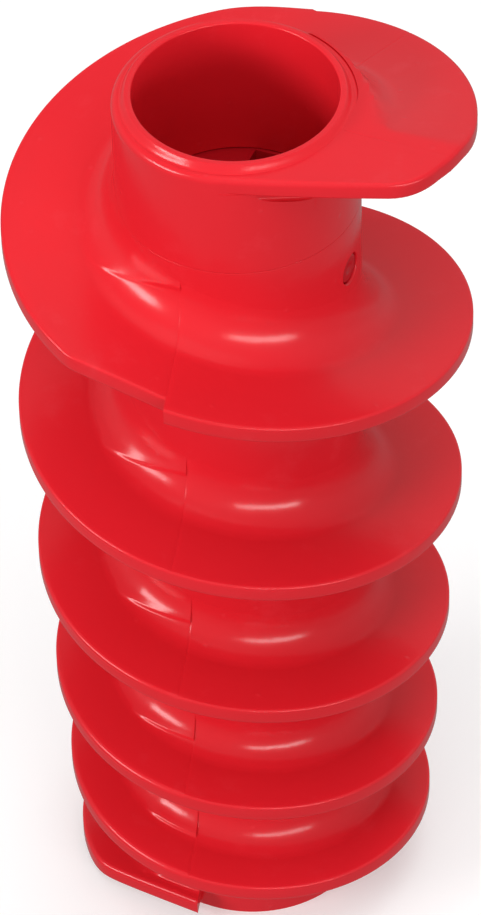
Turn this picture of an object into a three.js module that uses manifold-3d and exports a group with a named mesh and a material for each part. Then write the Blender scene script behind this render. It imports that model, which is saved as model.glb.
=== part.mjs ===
// Moulded screw auger: a hollow hub wrapped by a left-hand flight that tapers and tightens downwards.
// Units are millimetres. +Z runs up the screw axis, and the origin is on that axis at the bottom face.
// Angles are in degrees, counted anticlockwise seen from above, with 0 along +X and the front at -90.

import * as THREE from 'three';
import { mergeVertices } from 'three/addons/utils/BufferGeometryUtils.js';
import Module from 'manifold-3d';

// ---- driving dimensions ----

const screwLength = 225;
const gap = 0.3;

const hubRadius = 25.75;
const boreRadius = 21.5;
const shoulderDrop = 1.7;
const seamDepth = 27.3;
const socketRadius = 24.3;

const ringDepth = 34.6;
const ringHeight = 12;
const ringBoreRadius = 15;
const keywayWidth = 9;
const keywayReach = 20.7;
const keywayAngle = 67;

const pinAngle = -26;
const pinDepth = 40;
const pinRadius = 2.2;
const pinHeadRadius = 3.2;
const pinHeadHeight = 1.4;
const pinGrip = 3;

const bushHeight = 14;
const bushFlangeHeight = 3;
const bushFlangeRadius = 23.6;
const bushBoreRadius = 14;

const flightThickness = 4;
const topRadius = 50;
const taperPerTurn = 2.56;
const taperStart = 1.18;
const taperBlend = 0.5;
const helixOffset = 10.6;
const endPitch = 7.4;
const extraPitch = 57.3;
const pitchDecay = 4.53;
const tailClearance = 2.8;

// Root fillet at the top end and at the tail, and the turns between which it shrinks.
const topFoot = { width: 8.5, height: 12 };
const tailFoot = { width: 6.5, height: 8 };
const footShrink = { from: 0.6, to: 4.8 };

// The rim steps out on the back of the first turn, swings out past it, and flares a little at the tail.
const rimStep = { turn: 0.44, inset: 1.6, easeFrom: 0.2 };
const rimSwing = { offset: 1.1, outBy: 0.51, fadeFrom: 0.55, fadeTo: 0.8 };
const tailFlare = { outset: 1.2, from: 4.3, to: 5.7 };

const firstTurn = 0.02;
const jointTurn = 0.94;
const sectionCount = 6;
const stepsPerTurn = 66;
const footSegments = 2;

// Plan outline of the flight's top end: a straight front edge, then a rounded corner up to the rim.
const frontCut = 28.4;
const frontEnd = 31;
const frontGuide = 36.5;
const cornerMiddle = [41, -23];
const sideGuide = [49.8, -14.8];
const sideStart = 50.3;

// Chords taken off the rim before the first joint and before the tail end.
const topChord = { startAngle: -137, inset: 3.2 };
const tailChord = { startAngle: -156, inset: 7.2 };

const shoulderHeight = screwLength - shoulderDrop;
const seamHeight = screwLength - seamDepth;
const ringTop = screwLength - ringDepth;
const pinHeight = screwLength - pinDepth;

const roundSegments = 72;
const red = 0xd8202a;
const darkRed = 0xb4161f;
const cream = 0xe8e4da;

const radians = THREE.MathUtils.degToRad;
const wasm = await Module();
wasm.setup();

// ---- solids: three.js geometry in, three.js geometry out, with manifold-3d for cuts ----

function toManifold(geometry) {
  const bare = geometry.clone();
  bare.deleteAttribute('normal');
  bare.deleteAttribute('uv');
  const merged = mergeVertices(bare, 1e-4);
  return new wasm.Manifold(new wasm.Mesh({
    numProp: 3,
    vertProperties: new Float32Array(merged.attributes.position.array),
    triVerts: new Uint32Array(merged.index.array),
  }));
}

function toGeometry(manifold) {
  const mesh = manifold.getMesh();
  const geometry = new THREE.BufferGeometry();
  geometry.setAttribute('position', new THREE.BufferAttribute(mesh.vertProperties, 3));
  geometry.setIndex(new THREE.BufferAttribute(mesh.triVerts, 1));
  geometry.computeVertexNormals();
  return geometry;
}

function cut(geometry, ...tools) {
  let solid = toManifold(geometry);
  for (const tool of tools) solid = solid.subtract(toManifold(tool));
  return toGeometry(solid);
}

// A turned ring: the profile is a closed list of [radius, height] pairs, run upwards on the outside.
function turned(profile) {
  const points = profile.map(([radius, height]) => new THREE.Vector2(radius, height));
  points.push(points[0].clone());
  const geometry = new THREE.LatheGeometry(points, roundSegments);
  geometry.rotateX(Math.PI / 2);
  return geometry;
}

// A cylinder lying on a radius of the hub, from one radius out to another.
function radialCylinder(radius, from, to, angle, height) {
  const geometry = new THREE.CylinderGeometry(radius, radius, to - from, 24);
  geometry.rotateZ(-Math.PI / 2);
  geometry.translate((from + to) / 2, 0, height);
  geometry.rotateZ(radians(angle));
  return geometry;
}

// ---- the screw's laws ----

// Height of the flight's upper face at a turn count, before its ends are faced flat.
function helixHeight(turn) {
  const fallen = endPitch * turn + extraPitch * pitchDecay * (1 - Math.exp(-turn / pitchDecay));
  return screwLength + helixOffset - fallen;
}

// Both ends of the flight run level: with the collar's shoulder, and a little above the bottom face.
function flightTop(turn) {
  return THREE.MathUtils.clamp(helixHeight(turn), flightThickness + tailClearance, shoulderHeight);
}

// How far the rim stands out from the plain taper.
function rimOffset(turn) {
  const { smoothstep } = THREE.MathUtils;
  if (turn < rimStep.turn) return -rimStep.inset * smoothstep(turn, rimStep.easeFrom, rimStep.turn);
  const swungOut = smoothstep(turn, rimStep.turn, rimSwing.outBy);
  const faded = smoothstep(turn, rimSwing.fadeFrom, rimSwing.fadeTo);
  const flare = tailFlare.outset * smoothstep(turn, tailFlare.from, tailFlare.to);
  return rimSwing.offset * (2 * swungOut - 1 - faded) + flare;
}

function flightRadius(turn) {
  const past = turn - taperStart;
  const taper = taperPerTurn * (Math.hypot(past, taperBlend) + past) / 2;
  return topRadius - taper + rimOffset(turn);
}

// Size of the root fillet, between its size at the top end and at the tail.
function foot(dimension, turn) {
  const share = THREE.MathUtils.smoothstep(turn, footShrink.from, footShrink.to);
  return THREE.MathUtils.lerp(topFoot[dimension], tailFoot[dimension], share);
}

// Turn 0 faces the front; each further turn is once round anticlockwise and downwards.
function turnAngle(turn) {
  return radians(360 * turn - 90);
}

// ---- flight sections ----

// Cross-section of the flight. Outwards, 0 to 0.5 spans the root fillet and 0.5 to 1 the rest, to the rim.
// Upwards, 0 is the upper face, 1 is the fillet's top, and what lies below 0 is in millimetres.
function flightProfile() {
  const shape = new THREE.Shape();
  shape.moveTo(0, -flightThickness);
  shape.lineTo(1, -flightThickness);
  shape.lineTo(1, 0);
  shape.lineTo(0.5, 0);
  shape.ellipse(0, 1, 0.5, 1, -Math.PI / 2, -Math.PI, true);
  shape.closePath();
  return shape;
}

function outwardRadius(outward, turn) {
  const root = hubRadius + gap;
  const footEnd = root + foot('width', turn);
  if (outward <= 0.5) return THREE.MathUtils.mapLinear(outward, 0, 0.5, root, footEnd);
  return THREE.MathUtils.mapLinear(outward, 0.5, 1, footEnd, flightRadius(turn));
}

function heightAt(upward, turn) {
  const rise = upward > 0 ? upward * foot('height', turn) : upward;
  return Math.min(flightTop(turn) + rise, shoulderHeight);
}

// Extrudes the profile straight, then bends it along the helix from one turn count to another.
function flightBlank(startTurn, endTurn) {
  const steps = Math.ceil((endTurn - startTurn) * stepsPerTurn);
  const options = { depth: 1, steps, curveSegments: footSegments, bevelEnabled: false };
  const geometry = new THREE.ExtrudeGeometry(flightProfile(), options);
  const position = geometry.attributes.position;
  for (let i = 0; i < position.count; i += 1) {
    const turn = THREE.MathUtils.lerp(endTurn, startTurn, position.getZ(i));
    const radius = outwardRadius(position.getX(i), turn);
    const height = heightAt(position.getY(i), turn);
    const angle = turnAngle(turn);
    position.setXYZ(i, radius * Math.cos(angle), radius * Math.sin(angle), height);
  }
  return geometry;
}

function prism(shape, bottom, top) {
  const geometry = new THREE.ExtrudeGeometry(shape, { depth: top - bottom, bevelEnabled: false });
  geometry.translate(0, 0, bottom);
  return geometry;
}

// What is trimmed off the flight's top end, leaving a straight front edge and a rounded corner.
function topEndWaste() {
  const reach = topRadius + 10;
  const shape = new THREE.Shape();
  shape.moveTo(-reach, -reach);
  shape.lineTo(reach, -reach);
  shape.lineTo(reach, 0);
  shape.lineTo(sideStart, 0);
  shape.quadraticCurveTo(...sideGuide, ...cornerMiddle);
  shape.quadraticCurveTo(frontGuide, -frontCut, frontEnd, -frontCut);
  shape.lineTo(-reach, -frontCut);
  shape.closePath();
  return prism(shape, screwLength - 20, screwLength + 1);
}

// Slab that takes a chord off the rim just before a section's closing joint.
function chordWaste(chord, turn) {
  const overrun = 20;
  const start = new THREE.Vector2(flightRadius(turn), 0);
  const end = new THREE.Vector2(flightRadius(turn) - chord.inset, 0);
  const origin = new THREE.Vector2();
  start.rotateAround(origin, radians(chord.startAngle));
  end.rotateAround(origin, turnAngle(turn));
  const along = end.clone().sub(start).normalize();
  const outward = new THREE.Vector2(along.y, -along.x).multiplyScalar(overrun);
  const low = start.addScaledVector(along, -overrun);
  const high = end.addScaledVector(along, overrun);
  const shape = new THREE.Shape([low, low.clone().add(outward), high.clone().add(outward), high]);
  return prism(shape, flightTop(turn) - overrun / 2, flightTop(turn) + overrun / 2);
}

// Section 1 starts at the top end; every other section starts at the joint that closed the last one.
function flightSection(index) {
  const halfJoint = gap / 2 / (2 * Math.PI * hubRadius);
  const endTurn = index - 1 + jointTurn - halfJoint;
  const startTurn = index === 1 ? firstTurn : index - 2 + jointTurn + halfJoint;
  const blank = flightBlank(startTurn, endTurn);
  if (index === 1) return cut(blank, chordWaste(topChord, endTurn), topEndWaste());
  return index === sectionCount ? cut(blank, chordWaste(tailChord, endTurn)) : blank;
}

// ---- hub pieces ----

// Upper sleeve with the stepped lip; its spigot drops into the tube's socket.
function driveCollar() {
  return turned([
    [boreRadius, ringTop + gap],
    [socketRadius - gap, ringTop + gap],
    [socketRadius - gap, seamHeight],
    [hubRadius, seamHeight],
    [hubRadius, shoulderHeight - 1.4],
    [hubRadius - 0.4, shoulderHeight - 0.3],
    [hubRadius - 1.2, shoulderHeight],
    [boreRadius + 1.9, shoulderHeight - 0.3],
    [boreRadius + 1.5, screwLength - 0.3],
    [boreRadius + 1.2, screwLength],
    [boreRadius + 0.3, screwLength],
    [boreRadius, screwLength - 0.4],
  ]);
}

// Main tube, with a socket at the top for ring and spigot and one at the bottom for the bush.
function hubTube() {
  const socketFloor = ringTop - ringHeight - gap;
  const blank = turned([
    [boreRadius, bushFlangeHeight + gap],
    [bushFlangeRadius + gap, bushFlangeHeight + gap],
    [bushFlangeRadius + gap, 0],
    [hubRadius, 0],
    [hubRadius, seamHeight - gap],
    [socketRadius, seamHeight - gap],
    [socketRadius, socketFloor],
    [boreRadius, socketFloor],
  ]);
  const beyond = hubRadius + 2;
  const headSeat = hubRadius - pinHeadHeight - gap;
  const holes = [pinAngle, pinAngle + 180].flatMap((angle) => [
    radialCylinder(pinRadius + gap, boreRadius, beyond, angle, pinHeight),
    radialCylinder(pinHeadRadius + gap, headSeat, beyond, angle, pinHeight),
  ]);
  return cut(blank, ...holes);
}

// Keyed ring that takes the drive shaft, held between the tube's shoulder and the spigot.
function driveRing() {
  const outer = socketRadius - gap;
  const blank = turned([
    [ringBoreRadius, ringTop - ringHeight],
    [outer, ringTop - ringHeight],
    [outer, ringTop],
    [ringBoreRadius, ringTop],
  ]);
  const keyways = [keywayAngle, keywayAngle + 180].map((angle) => {
    const slot = new THREE.BoxGeometry(keywayReach, keywayWidth, ringHeight + 2);
    slot.translate(keywayReach / 2, 0, ringTop - ringHeight / 2);
    slot.rotateZ(radians(angle));
    return slot;
  });
  const holeFloor = outer - pinGrip - gap;
  const pinHoles = [pinAngle, pinAngle + 180].map((angle) => (
    radialCylinder(pinRadius + gap, holeFloor, outer + 2, angle, pinHeight)
  ));
  return cut(blank, ...keyways, ...pinHoles);
}

// Headed radial pin that keys the ring to the tube, its head sunk below the hub's surface.
function ringPin(angle) {
  const tip = socketRadius - gap - pinGrip;
  const headTop = hubRadius - 0.5;
  const shank = radialCylinder(pinRadius, tip, headTop - 0.1, angle, pinHeight);
  const head = radialCylinder(pinHeadRadius, hubRadius - pinHeadHeight, headTop, angle, pinHeight);
  return toGeometry(toManifold(shank).add(toManifold(head)));
}

// Flanged bush that runs on the machine's stub shaft.
function tailBush() {
  const outer = boreRadius - gap;
  return turned([
    [bushBoreRadius, 0],
    [bushFlangeRadius, 0],
    [bushFlangeRadius, bushFlangeHeight],
    [outer, bushFlangeHeight],
    [outer, bushHeight],
    [bushBoreRadius, bushHeight],
  ]);
}

// ---- assembly ----

function plastic(color, roughness) {
  return new THREE.MeshStandardMaterial({ color, roughness, metalness: 0 });
}

const group = new THREE.Group();

function addPiece(name, geometry, material) {
  const mesh = new THREE.Mesh(geometry, material);
  mesh.name = name;
  group.add(mesh);
}

addPiece('drive_collar', driveCollar(), plastic(red, 0.3));
addPiece('hub_tube', hubTube(), plastic(red, 0.3));
addPiece('drive_ring', driveRing(), plastic(darkRed, 0.4));
addPiece('ring_pin_front', ringPin(pinAngle), plastic(darkRed, 0.4));
addPiece('ring_pin_back', ringPin(pinAngle + 180), plastic(darkRed, 0.4));
addPiece('tail_bush', tailBush(), plastic(cream, 0.45));
for (let index = 1; index <= sectionCount; index += 1) {
  addPiece(`flight_section_${index}`, flightSection(index), plastic(red, 0.3));
}

export default group;
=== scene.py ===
"""Looks of the moulded screw auger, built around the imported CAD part.

Lengths are worked out in millimetres and scaled once, when a mesh is made.
Angles are in degrees, anticlockwise from +X seen from above, with the front at -90.
A turn count is 0 at the front of the top end and grows by 1 each time round, going down.
"""

import math

import bmesh
import bpy
import numpy as np
from mathutils import Matrix, Vector


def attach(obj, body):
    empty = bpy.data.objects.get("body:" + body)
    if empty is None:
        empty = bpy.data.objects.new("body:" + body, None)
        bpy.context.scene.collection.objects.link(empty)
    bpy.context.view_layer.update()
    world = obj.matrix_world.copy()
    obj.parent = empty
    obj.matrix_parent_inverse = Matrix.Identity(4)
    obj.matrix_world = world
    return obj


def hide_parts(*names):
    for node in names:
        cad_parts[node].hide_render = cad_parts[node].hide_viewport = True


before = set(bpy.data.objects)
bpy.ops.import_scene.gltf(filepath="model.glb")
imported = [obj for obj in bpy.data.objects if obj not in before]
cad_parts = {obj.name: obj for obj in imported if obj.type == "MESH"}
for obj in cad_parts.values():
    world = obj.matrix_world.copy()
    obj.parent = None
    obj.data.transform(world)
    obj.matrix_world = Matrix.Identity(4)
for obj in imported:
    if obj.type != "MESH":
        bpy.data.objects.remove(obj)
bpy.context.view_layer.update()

MM = 0.001
NO_CUT = 1000.0                 # a radius beyond every rim, where an outline has no cut

# ---- the screw's driving dimensions, as in the part ----
LENGTH = 225.0
HUB_R = 25.75
BORE_R = 21.5
SHOULDER_DROP = 1.7
SEAM_Z = LENGTH - 27.3
SOCKET_R = 24.3
GAP = 0.3
RING_TOP = LENGTH - 34.6
RING_HEIGHT = 12.0
RING_BORE_R = 15.0
KEY_WIDTH = 9.0
KEY_REACH = 20.7
KEY_ANGLE = 67.0
PIN_ANGLE = -26.0
PIN_Z = LENGTH - 40.0
PIN_R = 2.2
PIN_HEAD_R = 3.2
PIN_HEAD_H = 1.4
BUSH_HEIGHT = 14.0
BUSH_FLANGE_H = 3.0
BUSH_FLANGE_R = 23.6
BUSH_BORE_R = 14.0
SHOULDER_Z = LENGTH - SHOULDER_DROP

THICKNESS = 4.0
TOP_RADIUS = 50.0
TAPER_PER_TURN = 2.56
TAPER_START = 1.18
TAPER_BLEND = 0.5
HELIX_OFFSET = 10.6
END_PITCH = 7.4
EXTRA_PITCH = 57.3
PITCH_DECAY = 4.53
SECTIONS = 6
FIRST_TURN = -0.025
FRONT_CUT = 28.4
JOINT_LEAD = 0.06               # a section ends this share of a turn before the front
JOINT_ACROSS = 12.4             # the joint's distance from the front plane, at the hub
JOINT_SLANT = 0.17              # and how much that grows with the radius
TOP_CHORD = (-137.0, 3.2)       # start angle, and how far inside the rim the cut ends
TAIL_CHORD = (-156.0, 7.2)
TAIL_CLEARANCE = 2.8
RIM_STEP_START = 0.2            # turn counts between which the rim moves in, then out and back
RIM_STEP_TURN = 0.44
RIM_SWING_FULL = 0.51
RIM_SWING_FADE = (0.55, 0.8)
RIM_STEP_IN = 1.6
RIM_SWING = 1.1
TAIL_FLARE_SPAN = (4.3, 5.7)
TAIL_FLARE = 1.2

# ---- outline of the flat top end, as [x, y] seen from above ----
PLATE_FRONT_START = (-5.0, -25.2)
PLATE_FRONT_GUIDE = (8.0, -27.3)
PLATE_CORNER_START = (31.0, -FRONT_CUT)
PLATE_CORNER_GUIDE = (36.5, -FRONT_CUT)
PLATE_CORNER_END = (41.0, -23.0)
PLATE_SIDE_GUIDE = (49.8, -14.8)
PLATE_SIDE_END = (50.6, 0.0)

# ---- moulding detail that only the looks carry ----
# pairs are values at the top and at the tail
FILLET_SPAN = (0.6, 4.8)        # turn counts between which the root fillet shrinks
FILLET_WIDTH = (8.5, 6.5)
FILLET_HEIGHT = (12.0, 8.0)
UNDER_FILLET = 2.4
PLATE_EDGE = 1.3
TOP_EDGE = 0.6
LOW_EDGE = 0.6
PLATE_INSET = 1.6
CREASE_STEP = (0.3, 0.55)
CREASE_REACH = (0.14, 0.076)    # share of a turn that the crease runs back from the joint
CREASE_AT_JOINT = (5.0, 65.0)   # degrees along the fillet, from the hub
CREASE_AT_END = 76.0
CREASE_CURVE = 1.3
CREASE_ROUND = 7.0
JOINT_HAIR = 0.25
JOINT_DIP = 0.08
PLATE_CREASES = (0.179, 0.36)
SLIT_ANGLE = -66.6
SLIT_Z = LENGTH - 9.0
SLIT_DEPTH = 0.95
SLIT_ROD = 0.75
SLIT_SLOPE = 19.0
PIN_INTO_RING = 3.0
PARTING_ANGLE = -116.0
PARTING_STEP = 0.05
STEPS_PER_TURN = 300


def smoothstep(low, high, value):
    t = np.clip((value - low) / (high - low), 0.0, 1.0)
    return t * t * (3.0 - 2.0 * t)


def soft_min(a, b, width):
    """The smaller of two lengths, with the corner between them rounded over."""
    return 0.5 * (a + b - np.sqrt((a - b) ** 2 + width ** 2))


# ---- the screw's laws ----

def helix_height(turn):
    fallen = END_PITCH * turn + EXTRA_PITCH * PITCH_DECAY * (1.0 - np.exp(-turn / PITCH_DECAY))
    return LENGTH + HELIX_OFFSET - fallen


def flight_top(turn):
    faced = soft_min(helix_height(turn), SHOULDER_Z, 0.08)
    return -soft_min(-faced, -THICKNESS - TAIL_CLEARANCE, 0.1)


def rim_offset(turn):
    """How far the rim stands out from the plain taper.

    It steps out on the back of turn 1, and flares a little at the tail.
    """
    before = -RIM_STEP_IN * smoothstep(RIM_STEP_START, RIM_STEP_TURN, turn)
    swung_out = smoothstep(RIM_STEP_TURN, RIM_SWING_FULL, turn)
    after = RIM_SWING * (2.0 * swung_out - 1.0 - smoothstep(*RIM_SWING_FADE, turn))
    flare = TAIL_FLARE * smoothstep(*TAIL_FLARE_SPAN, turn)
    return np.where(turn < RIM_STEP_TURN, before, after) + flare


def flight_radius(turn):
    past = turn - TAPER_START
    taper = TAPER_PER_TURN * (np.hypot(past, TAPER_BLEND) + past) / 2.0
    return TOP_RADIUS - taper + rim_offset(turn)


def turn_degrees(turn):
    return 360.0 * turn - 90.0


def chord_radius(chord, turn, joint):
    """Distance from the axis to a straight cut across the rim, just before a joint."""
    start_angle, inset = chord
    end_angle = turn_degrees(joint)
    start_turn = joint - ((end_angle - start_angle) % 360.0) / 360.0
    ends = []
    for at, less in ((start_turn, 0.0), (joint, inset)):
        angle = math.radians(turn_degrees(at))
        ends.append(Vector((math.cos(angle), math.sin(angle))) * float(flight_radius(at) - less))
    along = (ends[1] - ends[0]).normalized()
    normal = Vector((along.y, -along.x))
    offset = normal.dot(ends[0])
    angle = np.radians(turn_degrees(turn))
    facing = normal.x * np.cos(angle) + normal.y * np.sin(angle)
    near = (turn > joint - 0.25) & (facing > 0.3)
    return np.where(near, offset / np.where(near, facing, 1.0), NO_CUT)


def quadratic(start, guide, end, count=24):
    t = np.linspace(0.0, 1.0, count)[:, None]
    start, guide, end = np.array(start), np.array(guide), np.array(end)
    return (1 - t) ** 2 * start + 2 * t * (1 - t) * guide + t ** 2 * end


def top_plate_radius(turn):
    """Distance from the axis to the top end's outline.

    The outline leaves the hub at the front, then goes round a corner to the rim.
    """
    front = quadratic(PLATE_FRONT_START, PLATE_FRONT_GUIDE, PLATE_CORNER_START, 60)
    corner = quadratic(PLATE_CORNER_START, PLATE_CORNER_GUIDE, PLATE_CORNER_END)
    side = quadratic(PLATE_CORNER_END, PLATE_SIDE_GUIDE, PLATE_SIDE_END)
    outline = np.vstack([front, corner[1:], side[1:]])
    angles = np.degrees(np.arctan2(outline[:, 1], outline[:, 0]))
    radii = np.hypot(outline[:, 0], outline[:, 1])
    return np.interp(turn_degrees(turn), angles, radii, right=NO_CUT)


def section_end(index):
    """Turn count at which a section nominally ends."""
    return index - JOINT_LEAD


def joint_turn(index, radius):
    """Turn count of a section joint at a radius: the joint runs almost straight to the front."""
    across = JOINT_ACROSS + JOINT_SLANT * (radius - HUB_R)
    return index - np.degrees(np.arcsin(across / radius)) / 360.0


# ---- meshes ----

def new_object(name, vertices, faces, smooth_below=35.0):
    mesh = bpy.data.meshes.new(name)
    mesh.from_pydata((np.asarray(vertices) * MM).tolist(), [], faces)
    mesh.validate()
    work = bmesh.new()
    work.from_mesh(mesh)
    bmesh.ops.recalc_face_normals(work, faces=work.faces)
    work.to_mesh(mesh)
    work.free()
    obj = bpy.data.objects.new(name, mesh)
    bpy.context.scene.collection.objects.link(obj)
    shade(obj, smooth_below)
    return obj


def shade(obj, smooth_below=35.0):
    obj.data.shade_smooth()
    obj.data.set_sharp_from_angle(angle=math.radians(smooth_below))


def strip_faces(rows, columns, close_rows, close_columns):
    """Quads between neighbouring points of a grid, row after row."""
    faces = []
    for i in range(rows if close_rows else rows - 1):
        for j in range(columns if close_columns else columns - 1):
            below = (i + 1) % rows
            beside = (j + 1) % columns
            faces.append((i * columns + j, i * columns + beside,
                          below * columns + beside, below * columns + j))
    return faces


def rounded(profile, radius, count=5):
    """A closed [radius, height] outline with each corner rounded, by at most a third of its sides."""
    points = [Vector(p) for p in profile]
    result = []
    for i, corner in enumerate(points):
        before = points[i - 1] - corner
        after = points[(i + 1) % len(points)] - corner
        reach = min(radius, before.length / 3.0, after.length / 3.0)
        start = corner + before.normalized() * reach
        end = corner + after.normalized() * reach
        for step in range(count + 1):
            t = step / count
            result.append((1 - t) ** 2 * start + 2 * t * (1 - t) * corner + t * t * end)
    return result


def supported(profile, longest=6.0, margin=0.3):
    """Adds points to a closed profile's long sides, so that flat walls stay flat when shaded smooth."""
    result = []
    for i, start in enumerate(profile):
        start = Vector(start)
        side = Vector(profile[(i + 1) % len(profile)]) - start
        result.append(start)
        if side.length > 3.0 * margin:
            count = max(1, math.ceil(side.length / longest))
            inner = np.linspace(margin / side.length, 1.0 - margin / side.length, count + 1)
            result += [start + side * float(t) for t in inner]
    return result


def turned(name, profile, segments=240, swell=None):
    """A body of revolution from a closed profile; swell adds to the radius at (angle, radius, height)."""
    outline = np.array([tuple(p) for p in supported(profile)])
    angles = np.linspace(0.0, 360.0, segments, endpoint=False) + PARTING_ANGLE
    radius = np.repeat(outline[None, :, 0], segments, axis=0)
    height = np.repeat(outline[None, :, 1], segments, axis=0)
    spread = np.repeat(angles[:, None], len(outline), axis=1)
    if swell is not None:
        radius = radius + swell(spread, radius, height)
    turn = np.radians(spread)
    points = np.stack([radius * np.cos(turn), radius * np.sin(turn), height], axis=-1)
    return new_object(name, points.reshape(-1, 3),
                      strip_faces(segments, len(outline), True, True))


def carve(obj, cutters):
    """Takes the cutters out of obj for good, and removes them."""
    for cutter in cutters:
        modifier = obj.modifiers.new("carve", "BOOLEAN")
        modifier.operation = "DIFFERENCE"
        modifier.solver = "EXACT"
        modifier.object = cutter
    bake(obj)
    for cutter in cutters:
        bpy.data.objects.remove(cutter)
    return obj


def bake(obj):
    depsgraph = bpy.context.evaluated_depsgraph_get()
    mesh = bpy.data.meshes.new_from_object(obj.evaluated_get(depsgraph))
    obj.modifiers.clear()
    obj.data = mesh


def bevel(obj, width, segments=3):
    modifier = obj.modifiers.new("edges", "BEVEL")
    modifier.width = width * MM
    modifier.segments = segments
    modifier.limit_method = "ANGLE"
    modifier.angle_limit = math.radians(40.0)
    bake(obj)
    shade(obj)
    return obj


def lay_on_radius(obj, angle, height):
    """Turns something built along +Z so that it points outwards from the hub."""
    place = Matrix.Rotation(math.radians(angle), 4, "Z") @ Matrix.Rotation(math.radians(90.0), 4, "Y")
    obj.data.transform(Matrix.Translation((0.0, 0.0, height * MM)) @ place)
    return obj


# ---- flight ----

def corner_arc(radius, first, last, count=5):
    angle = np.radians(np.linspace(first, last, count))
    return radius * np.cos(angle), radius * np.sin(angle)


def between(pair, share):
    return pair[0] + (pair[1] - pair[0]) * share


def fillet_size(turn):
    """Width and height of the root fillet."""
    depth = smoothstep(*FILLET_SPAN, turn)
    return between(FILLET_WIDTH, depth), between(FILLET_HEIGHT, depth)


def crease(turn, joint):
    """The mould's crease before a joint: degrees along the fillet from the hub, and height of its step.

    It runs from the flight's face up towards the hub, and stays lower on each further turn down.
    """
    lower = min(joint - section_end(1), 4.0) / 4.0
    at_joint = between(CREASE_AT_JOINT, lower)
    back = np.clip((joint - turn) / between(CREASE_REACH, lower), 0.0, 1.2)
    angle = at_joint + (CREASE_AT_END - at_joint) * np.minimum(back, 1.0) ** CREASE_CURVE
    return angle, between(CREASE_STEP, lower) * (1.0 - smoothstep(0.75, 1.15, back))


def flight_outline(turn, rim, joint):
    """Cross-sections of the flight at many turn counts: radii and heights above the upper face."""
    plate = 1.0 - smoothstep(0.19, 0.26, turn)
    root = HUB_R - 0.04 - PLATE_INSET * plate
    wider = smoothstep(joint - 0.25, joint - 0.05, turn) * smoothstep(2.5, 3.5, joint)
    edge = TOP_EDGE + (PLATE_EDGE - TOP_EDGE) * (1.0 - smoothstep(0.05, 0.3, turn)) + 0.5 * wider
    edge = np.minimum(edge, rim - root - 0.05)
    low = np.minimum(LOW_EDGE, 0.5 * (rim - root))
    width, tall = fillet_size(turn)
    foot = np.minimum(width + HUB_R - root, 0.85 * (rim - edge - root))
    edge_angle, raised = crease(turn, joint)
    radii, heights = [], []
    angles = [(edge_angle * share, 1.0) for share in np.linspace(0.0, 1.0, 9)]
    for share in np.linspace(0.0, 1.0, 6)[1:]:
        angles.append((edge_angle + CREASE_ROUND * share, 0.5 + 0.5 * math.cos(math.pi * share)))
    for share in np.linspace(0.0, 1.0, 9)[1:]:
        past = edge_angle + CREASE_ROUND
        angles.append((past + (90.0 - past) * share, 0.0))
    for degrees, above in angles:
        angle = np.radians(degrees)
        push = raised * above * np.minimum(degrees / edge_angle, 1.0)
        radii.append(root + foot * (1.0 - np.cos(angle)) + push * np.cos(angle))
        heights.append(tall * (1.0 - np.sin(angle)) + push * np.sin(angle))
    for share in np.linspace(0.08, 1.0, 12):
        radii.append(root + foot + (rim - edge - root - foot) * share)
        heights.append(0.0)
    for c, s in zip(*corner_arc(1.0, 75.0, 0.0)):
        radii.append(rim - edge + edge * c)
        heights.append(-edge + edge * s)
    for share in (0.35, 0.65):
        radii.append(rim)
        heights.append(-edge + share * (edge + low - THICKNESS))
    for c, s in zip(*corner_arc(1.0, 0.0, -90.0)):
        radii.append(rim - low + low * c)
        heights.append(low - THICKNESS + low * s)
    under = np.clip(0.8 * (rim - low - HUB_R), 0.02, UNDER_FILLET)
    for share in np.linspace(0.12, 1.0, 8):
        radii.append(rim - low + (HUB_R + under - rim + low) * share)
        heights.append(-THICKNESS)
    for angle in np.radians(np.linspace(12.0, 90.0, 6)):
        radii.append(HUB_R - 0.02 + under * (1.0 - math.sin(angle)))
        heights.append(-THICKNESS - under * (1.0 - math.cos(angle)))
    radii += [root - 0.5, root - 0.5]
    heights += [-THICKNESS - under, tall]
    radii = [np.broadcast_to(r, turn.shape) for r in radii]
    heights = [np.broadcast_to(h, turn.shape) for h in heights]
    return np.stack(radii, axis=1), np.stack(heights, axis=1)


def rim_radius(index, turn):
    """Distance from the axis to a section's rim, with the straight cuts of the two end sections."""
    rim = flight_radius(turn)
    if index == 1:
        rim = np.where(turn < 0.3, soft_min(rim, top_plate_radius(turn), 0.3), rim)
        rim = soft_min(rim, chord_radius(TOP_CHORD, turn, section_end(1)), 0.35)
    if index == SECTIONS:
        rim = soft_min(rim, chord_radius(TAIL_CHORD, turn, section_end(SECTIONS)), 2.5)
    return rim


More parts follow.
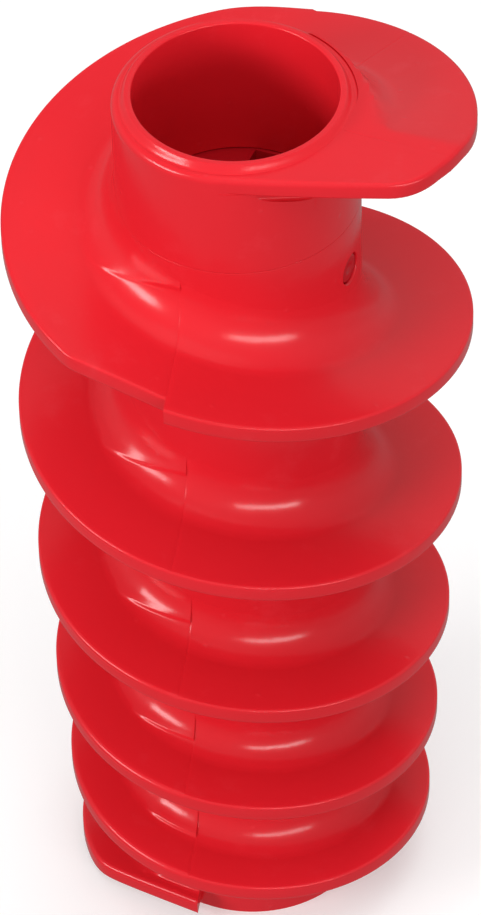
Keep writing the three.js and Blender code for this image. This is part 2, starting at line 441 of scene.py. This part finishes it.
def flight_section(index):
    """One turn's length of flight, swept along the helix between two joints and closed at both ends."""
    start = FIRST_TURN if index == 1 else section_end(index - 1)
    joint = section_end(index)
    length = joint - start
    along = np.linspace(0.0, 1.0, int(round(length * STEPS_PER_TURN)) + 1)
    hair = JOINT_HAIR / (2.0 * math.pi * HUB_R) / length
    along = np.concatenate([[0.0, hair], along[1:-1], [1.0 - hair, 1.0]])
    if index == 1:
        marks = [(at - start) / length for at in PLATE_CREASES]
        along = np.unique(np.concatenate([along] + [[m - hair, m, m + hair] for m in marks]))
    turn = start + length * along
    radii, heights = flight_outline(turn, rim_radius(index, turn), joint)
    # the joint's turn count depends on the radius, so the two are settled together
    for _ in range(3):
        first = FIRST_TURN if index == 1 else joint_turn(index - 1, radii)
        spread = first + (joint_turn(index, radii) - first) * along[:, None]
        mean = spread.mean(axis=1)
        column = radii.shape[1] // 2
        radii, heights = flight_outline(mean, rim_radius(index, spread[:, column]), joint)
    level = np.clip(flight_top(spread) + heights, 0.0, SHOULDER_Z)
    level[-1] -= JOINT_DIP
    if index == 1:
        for mark in marks:
            level[np.argmin(np.abs(along - mark))] -= JOINT_DIP
    if index > 1:
        level[0] -= JOINT_DIP
    angle = np.radians(turn_degrees(spread))
    points = np.stack([radii * np.cos(angle), radii * np.sin(angle), level], axis=-1)
    rows, columns = radii.shape
    faces = strip_faces(rows, columns, False, True)
    faces.append(tuple(range(columns)))
    faces.append(tuple(range(rows * columns - 1, (rows - 1) * columns - 1, -1)))
    return new_object(f"section_{index}", points.reshape(-1, 3), faces, smooth_below=32.0)


# ---- hub pieces ----

def hub_swell(angle, radius, height):
    """Added to the radius: the hub's mould halves differ by a hair's breadth at the parting line."""
    away = (angle - PARTING_ANGLE) % 360.0
    outer = smoothstep(HUB_R - 0.3, HUB_R - 0.1, radius)
    return -PARTING_STEP * outer * (1.0 - smoothstep(0.0, 150.0, away))


def drive_collar():
    lip = [
        (BORE_R, RING_TOP + GAP), (SOCKET_R - GAP, RING_TOP + GAP), (SOCKET_R - GAP, SEAM_Z + 0.02),
        (HUB_R - 0.04, SEAM_Z + 0.02), (HUB_R, SEAM_Z + 0.07), (HUB_R, SHOULDER_Z - 1.7),
    ]
    for angle in np.radians(np.linspace(10.0, 88.0, 8)):
        lip.append((HUB_R - 1.45 + 1.45 * math.cos(angle), SHOULDER_Z - 1.7 + 1.7 * math.sin(angle)))
    for share in np.linspace(0.0, 1.0, 12):
        rise = (LENGTH - 0.35 - SHOULDER_Z) * float(smoothstep(0.0, 1.0, share)) + 0.35 * share ** 3
        lip.append((HUB_R - 1.6 - 1.3 * share, SHOULDER_Z - 0.03 + rise))
    lip += [(BORE_R + 1.1, LENGTH - 0.01), (BORE_R + 0.9, LENGTH)]
    for angle in np.radians(np.linspace(0.0, 90.0, 5)):
        lip.append((BORE_R + 0.45 - 0.45 * math.sin(angle), LENGTH - 0.45 + 0.45 * math.cos(angle)))
    collar = turned("collar", lip, swell=hub_swell)
    carve(collar, [core_slit()])
    shade(collar, 30.0)
    return collar


def core_slit():
    """Cutter for the narrow lens-shaped pocket under the plate: a rod laid across the hub's surface."""
    profile = [(0.001, -12.0), (SLIT_ROD, -12.0), (SLIT_ROD, 12.0), (0.001, 12.0)]
    rod = turned("slit", profile, 32)
    rod.data.transform(Matrix.Rotation(math.radians(-90.0 - SLIT_SLOPE), 4, "X"))
    out = (HUB_R + SLIT_ROD - SLIT_DEPTH) * MM
    rod.data.transform(Matrix.Translation((out, 0.0, 0.0)))
    rod.data.transform(Matrix.Rotation(math.radians(SLIT_ANGLE), 4, "Z"))
    rod.data.transform(Matrix.Translation((0.0, 0.0, SLIT_Z * MM)))
    return rod


def pin_seats():
    """Cutters for the two stepped pin holes."""
    cutters = []
    for angle in (PIN_ANGLE, PIN_ANGLE + 180.0):
        hole = rounded([(0.001, BORE_R - 3), (PIN_R + GAP, BORE_R - 3),
                        (PIN_R + GAP, HUB_R - PIN_HEAD_H - GAP),
                        (PIN_HEAD_R + GAP, HUB_R - PIN_HEAD_H - GAP),
                        (PIN_HEAD_R + GAP, HUB_R - 0.35), (PIN_HEAD_R + GAP + 0.5, HUB_R + 0.2),
                        (PIN_HEAD_R + GAP + 0.5, HUB_R + 3), (0.001, HUB_R + 3)], 0.01, 1)
        cutters.append(lay_on_radius(turned("seat", hole, 48), angle, PIN_Z))
    return cutters


def hub_tube():
    socket_floor = RING_TOP - RING_HEIGHT - GAP
    profile = rounded([
        (BORE_R, BUSH_FLANGE_H + GAP), (BUSH_FLANGE_R + GAP, BUSH_FLANGE_H + GAP),
        (BUSH_FLANGE_R + GAP, 0.0), (HUB_R, 0.0), (HUB_R, SEAM_Z - 0.05),
        (SOCKET_R, SEAM_Z - 0.05), (SOCKET_R, socket_floor), (BORE_R, socket_floor),
    ], 0.1)
    tube = turned("tube", profile, swell=hub_swell)
    carve(tube, pin_seats())
    shade(tube, 30.0)
    return tube


def keyed_bore(angle):
    """Distance from the axis to the ring's inner edge, with its two keyways."""
    radius = RING_BORE_R
    for key in (KEY_ANGLE, KEY_ANGLE + 180.0):
        away = math.radians((angle - key + 180.0) % 360.0 - 180.0)
        if abs(away) < math.pi / 2:
            side = KEY_WIDTH / 2 / max(abs(math.sin(away)), 1e-6)
            radius = max(radius, min(KEY_REACH / math.cos(away), side))
    return radius


def drive_ring():
    corners = (math.degrees(math.atan2(KEY_WIDTH / 2, KEY_REACH)),
               math.degrees(math.asin(KEY_WIDTH / 2 / RING_BORE_R)))
    angles = set(np.arange(0.0, 360.0, 2.0).tolist())
    for key in (KEY_ANGLE, KEY_ANGLE + 180.0):
        for away in corners:
            angles.update({(key - away) % 360.0, (key + away) % 360.0})
    angles = np.array(sorted(angles))
    inner = np.array([keyed_bore(a) for a in angles])
    turn = np.radians(angles)
    loops = []
    for radius, height in ((inner, RING_TOP - RING_HEIGHT), (SOCKET_R - GAP, RING_TOP - RING_HEIGHT),
                           (SOCKET_R - GAP, RING_TOP), (inner, RING_TOP)):
        loops.append(np.column_stack([radius * np.cos(turn), radius * np.sin(turn),
                                      np.full(len(turn), height)]))
    points = np.stack(loops, axis=1)
    ring = new_object("ring", points.reshape(-1, 3), strip_faces(len(turn), 4, True, True))
    holes = []
    for angle in (PIN_ANGLE, PIN_ANGLE + 180.0):
        floor = SOCKET_R - 2 * GAP - PIN_INTO_RING
        hole = [(0.001, floor), (PIN_R + GAP, floor), (PIN_R + GAP, HUB_R + 3), (0.001, HUB_R + 3)]
        holes.append(lay_on_radius(turned("hole", hole, 36), angle, PIN_Z))
    carve(ring, holes)
    return bevel(ring, 0.25)


def ring_pin(angle):
    """Headed pin with a chamfered tip and a shallow dimple in its head."""
    tip = SOCKET_R - GAP - PIN_INTO_RING
    head = HUB_R - PIN_HEAD_H
    top = HUB_R - 0.5
    profile = [
        (0.001, tip), (PIN_R - 0.5, tip), (PIN_R, tip + 0.5), (PIN_R, head - 0.05), (PIN_R + 0.05, head),
        (PIN_HEAD_R - 0.15, head), (PIN_HEAD_R, head + 0.15), (PIN_HEAD_R, top - 0.3),
        (PIN_HEAD_R - 0.12, top - 0.08), (PIN_HEAD_R - 0.35, top), (1.5, top), (1.2, top - 0.12),
        (0.7, top - 0.3), (0.001, top - 0.35),
    ]
    return lay_on_radius(turned("pin", profile, 64), angle, PIN_Z)


def tail_bush():
    outer = BORE_R - GAP
    groove = BUSH_HEIGHT * 0.55
    profile = rounded([
        (BUSH_BORE_R, 0.0), (BUSH_FLANGE_R, 0.0), (BUSH_FLANGE_R, BUSH_FLANGE_H), (outer, BUSH_FLANGE_H),
        (outer, groove - 0.8), (outer - 0.5, groove - 0.4), (outer - 0.5, groove + 0.4),
        (outer, groove + 0.8), (outer, BUSH_HEIGHT - 0.6), (outer - 0.6, BUSH_HEIGHT),
        (BUSH_BORE_R + 0.7, BUSH_HEIGHT), (BUSH_BORE_R, BUSH_HEIGHT - 0.7),
        (BUSH_BORE_R, groove + 1.0), (BUSH_BORE_R + 0.5, groove + 0.6),
        (BUSH_BORE_R + 0.5, groove - 0.6), (BUSH_BORE_R, groove - 1.0),
    ], 0.25)
    return turned("bush", profile, 160)


# ---- materials ----

RANGE_SOCKETS = ("From Min", "From Max", "To Min", "To Max")


class Nodes:
    """A short way to build one material's node tree."""

    def __init__(self, name):
        self.material = bpy.data.materials.new(name)
        self.material.use_nodes = True
        self.tree = self.material.node_tree
        self.shader = self.tree.nodes["Principled BSDF"]
        self.place = self.add("ShaderNodeTexCoord").outputs["Object"]

    def add(self, kind, **settings):
        node = self.tree.nodes.new(kind)
        for key, value in settings.items():
            setattr(node, key, value)
        return node

    def link(self, output, socket):
        self.tree.links.new(output, socket)

    def noise(self, scale, detail=3.0, roughness=0.5):
        node = self.add("ShaderNodeTexNoise")
        self.link(self.place, node.inputs["Vector"])
        node.inputs["Scale"].default_value = scale
        node.inputs["Detail"].default_value = detail
        node.inputs["Roughness"].default_value = roughness
        return node.outputs["Fac"]

    def spread(self, value, low, high, to_low, to_high):
        node = self.add("ShaderNodeMapRange")
        self.link(value, node.inputs["Value"])
        for key, number in zip(RANGE_SOCKETS, (low, high, to_low, to_high)):
            node.inputs[key].default_value = number
        return node.outputs["Result"]

    def mix(self, share, first, second):
        node = self.add("ShaderNodeMix", data_type="RGBA")
        self.link(share, node.inputs["Factor"])
        for key, colour in (("A", first), ("B", second)):
            socket = next(s for s in node.inputs if s.name == key and s.type == "RGBA")
            if isinstance(colour, tuple):
                socket.default_value = (*colour, 1.0)
            else:
                self.link(colour, socket)
        return next(s for s in node.outputs if s.type == "RGBA")

    def sum(self, first, second, weight):
        node = self.add("ShaderNodeMath", operation="MULTIPLY_ADD")
        self.link(second, node.inputs[0])
        node.inputs[1].default_value = weight
        self.link(first, node.inputs[2])
        return node.outputs["Value"]

    def bump(self, height, distance):
        node = self.add("ShaderNodeBump")
        node.inputs["Strength"].default_value = 1.0
        node.inputs["Distance"].default_value = distance
        self.link(height, node.inputs["Height"])
        self.link(node.outputs["Normal"], self.shader.inputs["Normal"])

    def specks(self, scale, size):
        """Sparse round specks: 1 at a speck's centre, 0 away from it."""
        node = self.add("ShaderNodeTexVoronoi")
        self.link(self.place, node.inputs["Vector"])
        node.inputs["Scale"].default_value = scale
        return self.spread(node.outputs["Distance"], 0.0, size, 1.0, 0.0)


def moulded_plastic(name, colour, deep, worn, roughness):
    """Glossy moulding: slow colour drift, faint orange peel, a few specks, rubbed patches."""
    look = Nodes(name)
    drift = look.spread(look.noise(14.0, 2.0), 0.35, 0.65, 0.0, 1.0)
    rubbed = look.spread(look.noise(70.0, 6.0, 0.7), 0.58, 0.8, 0.0, 0.5)
    specks = look.specks(120.0, 0.09)
    body = look.mix(drift, deep, colour)
    scuffed = look.mix(rubbed, body, worn)
    speckled = look.mix(look.spread(specks, 0.0, 1.0, 0.0, 0.35), scuffed, worn)
    look.link(speckled, look.shader.inputs["Base Color"])
    haze = look.spread(look.noise(45.0, 4.0), 0.3, 0.7, roughness - 0.03, roughness + 0.05)
    look.link(look.sum(haze, rubbed, 0.12), look.shader.inputs["Roughness"])
    peel = look.sum(look.noise(260.0, 2.0), look.noise(30.0, 2.0), 1.5)
    look.bump(look.sum(peel, specks, 1.2), 0.00006)
    look.shader.inputs["IOR"].default_value = 1.42
    return look.material


# ---- stage ----

def floor():
    bpy.ops.mesh.primitive_grid_add(x_subdivisions=8, y_subdivisions=8, size=40.0)
    plane = bpy.context.object
    plane.name = "floor"
    look = Nodes("floor_white")
    grain = look.noise(3.0, 2.0)
    look.link(look.mix(grain, (0.70, 0.70, 0.70), (0.72, 0.72, 0.72)), look.shader.inputs["Base Color"])
    look.shader.inputs["Emission Color"].default_value = (1.0, 1.0, 1.0, 1.0)
    look.shader.inputs["Emission Strength"].default_value = 0.33
    look.shader.inputs["Roughness"].default_value = 0.9
    plane.data.materials.append(look.material)
    plane.visible_glossy = False
    plane.visible_diffuse = False


def softbox(name, azimuth, elevation, distance, size, power, glossy=True, roll=0.0):
    """A rectangular light aimed at the middle of the screw; distance and size are in metres."""
    light = bpy.data.lights.new(name, "AREA")
    light.shape = "RECTANGLE"
    light.size, light.size_y = size
    light.energy = power
    lamp = bpy.data.objects.new(name, light)
    bpy.context.scene.collection.objects.link(lamp)
    lamp.visible_glossy = glossy
    a, e = math.radians(azimuth), math.radians(elevation)
    aim = Vector((0.0, 0.0, LENGTH / 2 * MM))
    away = Vector((math.cos(e) * math.cos(a), math.cos(e) * math.sin(a), math.sin(e)))
    lamp.location = aim + distance * away
    facing = (lamp.location - aim).to_track_quat("Z", "Y").to_matrix()
    lamp.rotation_euler = (facing @ Matrix.Rotation(math.radians(roll), 3, "Z")).to_euler()


def surroundings(below, horizon, zenith):
    """White walls that fade to a dimmer ceiling, and to a dimmer ground seen in reflections."""
    world = bpy.data.worlds.new("studio")
    bpy.context.scene.world = world
    world.use_nodes = True
    tree = world.node_tree
    direction = tree.nodes.new("ShaderNodeTexCoord")
    split = tree.nodes.new("ShaderNodeSeparateXYZ")
    tree.links.new(direction.outputs["Generated"], split.inputs["Vector"])
    level = tree.nodes.new("ShaderNodeMath")
    level.operation = "MULTIPLY"
    for slot, numbers in enumerate(((-0.15, 0.1, below, 1.0), (0.45, 0.75, horizon, zenith))):
        ramp = tree.nodes.new("ShaderNodeMapRange")
        ramp.interpolation_type = "SMOOTHSTEP"
        tree.links.new(split.outputs["Z"], ramp.inputs["Value"])
        for key, number in zip(RANGE_SOCKETS, numbers):
            ramp.inputs[key].default_value = number
        tree.links.new(ramp.outputs["Result"], level.inputs[slot])
    background = tree.nodes["Background"]
    background.inputs["Color"].default_value = (1.0, 1.0, 1.0, 1.0)
    tree.links.new(level.outputs["Value"], background.inputs["Strength"])


def camera():
    """Looks down at the screw through a long lens, from the front, in metres and radians."""
    eye = Vector((0.0, -0.93240, 1.03097))
    target = Vector((0.0, 0.0, 0.09033))
    roll = -0.0256
    turn_left, tilt_up = 0.00112, 0.01593
    forward = (target - eye).normalized()
    right = Vector((1.0, 0.0, 0.0))
    up = right.cross(forward)
    across = math.cos(roll) * right + math.sin(roll) * up
    upward = math.cos(roll) * up - math.sin(roll) * right
    look = (forward - turn_left * across + tilt_up * upward).normalized()
    across = (across - across.dot(look) * look).normalized()
    upward = across.cross(look)
    data = bpy.data.cameras.new("camera")
    data.lens = 236.15
    data.clip_start = 0.05
    view = bpy.data.objects.new("camera", data)
    bpy.context.scene.collection.objects.link(view)
    view.matrix_world = Matrix.Translation(eye) @ Matrix((across, upward, -look)).transposed().to_4x4()
    bpy.context.scene.camera = view


# ---- assembly ----

def place(obj, node, slot, material):
    obj.name = f"{node}_look"
    obj.data.materials.clear()
    obj.data.materials.append(material)
    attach(obj, "root")
    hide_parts(node)


red = moulded_plastic(
    "red_plastic", (0.77, 0.016, 0.027), (0.73, 0.014, 0.023), (0.80, 0.04, 0.054), 0.2)
# a darker red than the body, as painted shade: it stands for the shade in the pin recesses and deep in
# the bore
recess_shade_red = moulded_plastic(
    "ring_plastic", (0.50, 0.008, 0.016), (0.44, 0.006, 0.012), (0.6, 0.05, 0.06), 0.3)
cream = moulded_plastic(
    "bush_plastic", (0.78, 0.75, 0.67), (0.72, 0.69, 0.6), (0.84, 0.82, 0.76), 0.42)

place(drive_collar(), "drive_collar", "red_plastic", red)
place(hub_tube(), "hub_tube", "red_plastic", red)
# the ring and the two pins take the darker red, painted shade for the recesses they sit in
place(drive_ring(), "drive_ring", "ring_plastic", recess_shade_red)
place(ring_pin(PIN_ANGLE), "ring_pin_front", "ring_plastic", recess_shade_red)
place(ring_pin(PIN_ANGLE + 180.0), "ring_pin_back", "ring_plastic", recess_shade_red)
place(tail_bush(), "tail_bush", "bush_plastic", cream)
for number in range(1, SECTIONS + 1):
    place(flight_section(number), f"flight_section_{number}", "red_plastic", red)

floor()
surroundings(0.68, 0.44, 0.28)
softbox("left_box", -153.0, 23.0, 1.2, (0.6, 0.3), 7.5)
softbox("front_box", -58.0, 13.0, 1.3, (1.1, 0.16), 6.0, roll=-20.0)
softbox("fill_box", -88.0, 50.0, 1.6, (1.2, 1.2), 2.2, glossy=False)
softbox("top_box", -80.0, 78.0, 1.6, (1.2, 1.2), 9.3, glossy=False)
softbox("back_box", 65.0, 52.0, 1.6, (1.2, 1.2), 7.0, glossy=False)
camera()
bpy.context.scene.view_settings.view_transform = "Standard"
